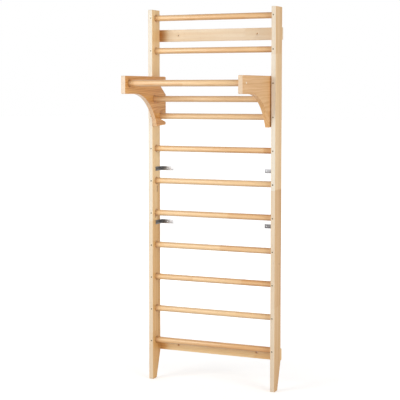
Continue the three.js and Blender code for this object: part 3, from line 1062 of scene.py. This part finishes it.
def make_angles():
    names = [f"wall_angle_{level}_{side}" for level in LEVELS for side in SIDES]
    half = half_size(names[0])
    leg = 2 * half.x
    outline = rounded([
        (0, -leg, ANGLE_CORNER),
        (0, 0, ANGLE_INNER_BEND + ANGLE_STEEL),
        (leg, 0, ANGLE_CORNER),
        (leg, -ANGLE_STEEL, ANGLE_CORNER),
        (ANGLE_STEEL, -ANGLE_STEEL, ANGLE_INNER_BEND),
        (ANGLE_STEEL, -leg, ANGLE_CORNER),
    ])
    source = plank("angle_shape", outline, "Z", -half.z, half.z, ANGLE_EDGE, STEEL_EDGE_STEPS)
    cutters = bmesh.new()
    near, far = -OVERCUT, ANGLE_STEEL + OVERCUT
    for reach in ANGLE_HOLES_FROM_END:
        at = leg - reach
        rod_into(cutters, ANGLE_HOLE_RADIUS, (near, -at, 0), (far, -at, 0), SCREW_SIDES)
        rod_into(cutters, ANGLE_HOLE_RADIUS, (at, -far, 0), (at, -near, 0), SCREW_SIDES)
    drilled(source, cutters)
    smoothed(source, weighted=False)
    spots = []
    for name in names:
        sign = sign_of(name)
        spots.append(((sign * stile_inner, 0.0, middle(name).z), 0.0 if sign < 0 else -math.pi / 2))
    made = at_points("wall_angles", source, spots, finishes["angle"])
    dressed(made, finishes["angle"], "ladder", "zinc_angles", *names)


make_angles()


# Screws


def screw_shape(name, profile, recess, top=0.0):
    """A screw along +Y from its head, with a cross recess (half width, half length, depth) in its top."""
    bm = bmesh.new()
    turn_into(bm, profile, SCREW_SIDES, facing((0, 0, 0), (0, 1, 0)))
    made = shape(name, bm)
    half_width, half_length, depth = recess
    for turn in (0, math.pi / 2):
        cutter = bmesh.new()
        bmesh.ops.create_cube(cutter, size=2.0)
        size = Matrix.Diagonal((half_length, depth, half_width, 1.0))
        place = Matrix.Translation((0, top, 0)) @ Matrix.Rotation(turn, 4, "Y") @ size
        bmesh.ops.transform(cutter, matrix=place, verts=cutter.verts)
        drilled(made, cutter)
    return smoothed(made, weighted=False)


def make_sunk_screws(name, nodes, shank, recess, finish, slot, turn):
    """Sunk screws, with their heads in front where turn is 0 and behind where it is half a turn."""
    low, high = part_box(nodes[0])
    half = half_size(nodes[0])
    head = half.x
    length = 2 * half.y
    profile = [
        (0, SUNK_FACE),
        (head - SUNK_RIM, SUNK_FACE),
        (head, SUNK_FACE + SUNK_RIM),
        (head, SUNK_CONE),
        (shank, SUNK_CONE + head - shank),
        (shank, length - SCREW_TIP),
        (0, length),
    ]
    source = screw_shape(f"{name}_shape", profile, recess)
    face = high.y if turn else low.y
    spots = [((middle(node).x, face, middle(node).z), turn) for node in nodes]
    made = at_points(name, source, spots, finish, math.tau)
    dressed(made, finish, "ladder", slot, *nodes)


def make_angle_screws():
    names = [
        f"angle_screw_{level}_{side}_{hole}" for level in LEVELS for side in SIDES for hole in ("01", "02")
    ]
    half = half_size(names[0])
    head = half.z
    length = 2 * half.x - ANGLE_SCREW_RISE
    dome = []
    for turn in DOME_TURNS:
        drop = ANGLE_SCREW_DOME * (1 - math.cos(turn))
        dome.append((head * math.sin(turn), drop - ANGLE_SCREW_RISE))
    profile = [
        (0, -ANGLE_SCREW_RISE),
        *dome,
        (head, -ANGLE_SCREW_RIM),
        (head, 0),
        (ANGLE_SCREW_SHANK, 0),
        (ANGLE_SCREW_SHANK, length - SCREW_TIP),
        (0, length),
    ]
    source = screw_shape("angle_screw_shape", profile, ANGLE_SCREW_RECESS, -ANGLE_SCREW_RISE)
    spots = []
    for name in names:
        sign = sign_of(name)
        at = middle(name)
        spots.append(((sign * (stile_inner - ANGLE_STEEL), at.y, at.z), -sign * math.pi / 2))
    made = at_points("angle_screws", source, spots, finishes["dark_screw"], math.tau)
    dressed(made, finishes["dark_screw"], "ladder", "dark_screws", *names)


make_sunk_screws(
    "rung_screws", [f"rung_screw_{side}_{number}" for side in SIDES for number in RUNGS],
    RUNG_SCREW_SHANK, RUNG_SCREW_RECESS, finishes["dark_screw"], "dark_screws", 0.0,
)
make_sunk_screws(
    "board_screws", [f"board_screw_{level}_{side}" for level in LEVELS for side in SIDES],
    BOARD_SCREW_SHANK, BOARD_SCREW_RECESS, finishes["board_screw"], "zinc_screws", math.pi,
)
make_angle_screws()


# Pull-up unit


def hollow_brace(low, under):
    """The curved underside from the hook's lowest edge up to the arm, as corners for rounded."""
    centre = Vector((low.y + BRACE_START, under - BRACE_RADIUS))
    first = math.asin((low.z - centre.y) / BRACE_RADIUS)
    corners = []
    for step in range(HOLLOW_STEPS + 1):
        turn = first + (math.pi / 2 - first) * step / HOLLOW_STEPS
        y = centre.x + BRACE_RADIUS * math.cos(turn)
        z = centre.y + BRACE_RADIUS * math.sin(turn)
        corners.append((y, z, 0))
    return corners


def bracket_outline(node):
    """Arm, hollow brace and two sloping slots, as (y, z) points."""
    low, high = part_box(node)
    seat = rung_radius + HOOK_CLEARANCE
    along = Vector((math.cos(HOOK_SLOPE), -math.sin(HOOK_SLOPE)))
    across = Vector((math.sin(HOOK_SLOPE), math.cos(HOOK_SLOPE)))
    reach = high.y - rung_y
    upper = Vector((rung_y, rung_z[UPPER_SLOT_RUNG]))
    lower = Vector((rung_y, rung_z[LOWER_SLOT_RUNG]))

    def slot_edge(axis, sign):
        return axis.y + (sign * seat - reach * across.x) / across.y

    def corner(axis, sign):
        return (*(axis - seat * along + sign * seat * across), seat)

    nose_low = low.z + HOOK_TAIL_RISE
    nose = ((lower.y - nose_low) * across.y - reach * across.x - seat) / (1 - across.x + across.y)
    under = high.z - ARM_HEIGHT
    seat_end = upper - seat * across
    return rounded([
        (low.y, high.z, ARM_CORNER),
        (high.y, high.z, HOOK_CORNER),
        (high.y, slot_edge(upper, 1), HOOK_TIP),
        corner(upper, 1),
        corner(upper, -1),
        (seat_end.x, seat_end.y, 0),
        (high.y, upper.y - UPPER_MOUTH_DROP, HOOK_LIP),
        (high.y, slot_edge(lower, 1), HOOK_TIP),
        corner(lower, 1),
        corner(lower, -1),
        (high.y, slot_edge(lower, -1), nose),
        (high.y, nose_low, nose),
        *hollow_brace(low, under),
        (low.y, under, ARM_CORNER),
    ])


def make_bracket(side):
    node = f"hook_bracket_{side}"
    sign = SIDES[side]
    low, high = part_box(node)
    made = plank(f"{node}_plank", bracket_outline(node), "X", low.x, high.x, BRACKET_EDGE)
    inner = low.x if sign > 0 else high.x
    outer = high.x if sign > 0 else low.x
    sockets = bmesh.new()
    for bar in BARS:
        at = middle(bar)
        mouth = (inner - sign * OVERCUT, at.y, at.z)
        rod_into(sockets, half_size(bar).z + FIT, mouth, (inner + sign * BAR_SOCKET, at.y, at.z))
    drilled(made, sockets)
    plug_hole = bmesh.new()
    at = middle("grip_bar")
    start = (inner + sign * BAR_SOCKET / 2, at.y, at.z)
    radius = half_size(f"grip_bar_plug_{side}").z + FIT
    rod_into(plug_hole, radius, start, (outer + sign * OVERCUT, at.y, at.z))
    drilled(made, plug_hole)
    smoothed(made)
    dressed(made, finishes[f"bracket_{side}"], "pull_up_unit", "bracket_wood", node)


for side in SIDES:
    make_bracket(side)


def make_bars():
    half = half_size("grip_bar")
    source = smoothed(turned_bar("bar_shape", half.x, half.z), weighted=False)
    spots = [(tuple(middle(bar)), 0.0) for bar in BARS]
    made = at_points("pull_up_bars", source, spots, finishes["bar"])
    dressed(made, finishes["bar"], "pull_up_unit", "rung_wood", *BARS)


def make_plugs():
    names = [f"grip_bar_plug_{side}" for side in SIDES]
    half = half_size(names[0])
    profile = [
        (0, 0),
        (half.z * PLUG_DOME_MIDDLE, PLUG_CROWN / 3),
        (half.z - PLUG_RIM, PLUG_CROWN),
        (half.z, PLUG_CROWN + PLUG_RIM),
        (half.z, 2 * half.x),
        (0, 2 * half.x),
    ]
    bm = bmesh.new()
    turn_into(bm, profile, HOLE_SIDES, facing((0, 0, 0), (0, 1, 0)))
    source = smoothed(shape("plug_shape", bm), weighted=False)
    spots = []
    for name in names:
        sign = sign_of(name)
        at = middle(name)
        spots.append(((at.x + sign * half.x, at.y, at.z), sign * math.pi / 2))
    made = at_points("grip_bar_plugs", source, spots, finishes["plug"])
    dressed(made, finishes["plug"], "pull_up_unit", "plug_wood", *names)


make_bars()
make_plugs()


# Floor, light and camera

WHITE = (1.0, 1.0, 1.0, 1.0)
ROOM_LIGHT = 0.46
FLOOR_PAINT = paint(228, 228, 228)
FLOOR_CLOUDS = paint(236, 236, 236)
FLOOR_NOISE = (1.4, 3.0, 0.5)  # waves per metre, detail and roughness
FLOOR_REACH = 60.0
FLOOR_GAP = 0.0005  # below the feet
GLOW_REACH = (0.4, 3.0)
NEAR_GLOW = 0.42
FAR_GLOW = 0.72

# Lamps: place, what they point at, watts, width and height
LAMPS = {
    "window": ((-2.4, -3.5, 0.25), (0.0, 0.0, -0.7), 83.0, 2.4, 2.8),
    "fill": ((5.0, -2.5, 0.4), (0.0, 0.0, -0.9), 108.0, 3.0, 3.0),
    "rear": ((-1.5, 5.5, 0.6), (0.0, 0.0, -0.9), 45.0, 4.0, 3.0),
}

# Camera: lens and sensor in millimetres, shift as a share of the picture, sight and place in metres
CAMERA_LENS = 107.165
CAMERA_SENSOR = 36.0
CAMERA_SHIFT = -0.05
CAMERA_SIGHT = 100.0
CAMERA_PLACE = (2.7716, -6.3846, -0.3253)
CAMERA_DIP = math.radians(4.269)
CAMERA_TURN = math.radians(24.356)


def seen_rays(r):
    """1 for rays that show the background itself: seen by the camera, in a reflection or through glass."""
    path = r.add("ShaderNodeLightPath")
    return path.out("Is Camera Ray").most(path.out("Is Glossy Ray")).most(path.out("Is Transmission Ray"))


def make_floor():
    """A pale floor that glows more the further it is from the ladder, until it is white."""
    material, r = finish_named("pale_floor")
    place, x, y, _ = place_on(r)
    colour = r.mix(r.noise(place, *FLOOR_NOISE), FLOOR_PAINT, FLOOR_CLOUDS)
    apart = (x ** 2.0 + y ** 2.0) ** 0.5
    glow = seen_rays(r) * apart.step(*GLOW_REACH, NEAR_GLOW, FAR_GLOW)
    close_finish(r, {
        "Base Color": colour,
        "Roughness": 0.9,
        "Emission Color": r.vector(glow, glow, glow),
        "Emission Strength": 1.0,
    })
    bm = bmesh.new()
    bmesh.ops.create_grid(bm, x_segments=1, y_segments=1, size=FLOOR_REACH)
    bmesh.ops.translate(bm, verts=bm.verts, vec=(0, 0, floor_z - FLOOR_GAP))
    floor = shape("floor", bm)
    floor.data.materials.append(material)


def make_world():
    """A white background, with less light from it than it shows."""
    world = bpy.data.worlds.new("studio")
    scene.world = world
    world.use_nodes = True
    world.node_tree.nodes.clear()
    r = Recipe(world.node_tree)
    room = r.add("ShaderNodeBackground", None, {"Color": WHITE, "Strength": ROOM_LIGHT})
    white = r.add("ShaderNodeBackground", None, {"Color": WHITE, "Strength": 1.0})
    both = r.add("ShaderNodeMixShader", None, {0: seen_rays(r), 1: room, 2: white})
    r.add("ShaderNodeOutputWorld", None, {"Surface": both})


def make_lamp(name, place, target, power, width, height):
    lamp = bpy.data.lights.new(name, "AREA")
    lamp.shape = "RECTANGLE"
    lamp.size = width
    lamp.size_y = height
    lamp.energy = power
    made = bpy.data.objects.new(name, lamp)
    scene.collection.objects.link(made)
    made.location = place
    made.rotation_euler = (Vector(target) - Vector(place)).to_track_quat("-Z", "Y").to_euler()
    made.visible_camera = False


def make_camera():
    lens = bpy.data.cameras.new("camera")
    lens.sensor_width = CAMERA_SENSOR
    lens.lens = CAMERA_LENS
    lens.shift_y = CAMERA_SHIFT
    lens.clip_end = CAMERA_SIGHT
    camera = bpy.data.objects.new("camera", lens)
    scene.collection.objects.link(camera)
    camera.location = CAMERA_PLACE
    camera.rotation_euler = Euler((math.pi / 2 - CAMERA_DIP, 0.0, CAMERA_TURN))
    scene.camera = camera


make_floor()
make_world()
for name, lamp in LAMPS.items():
    make_lamp(name, *lamp)
make_camera()
scene.view_settings.view_transform = "Standard"
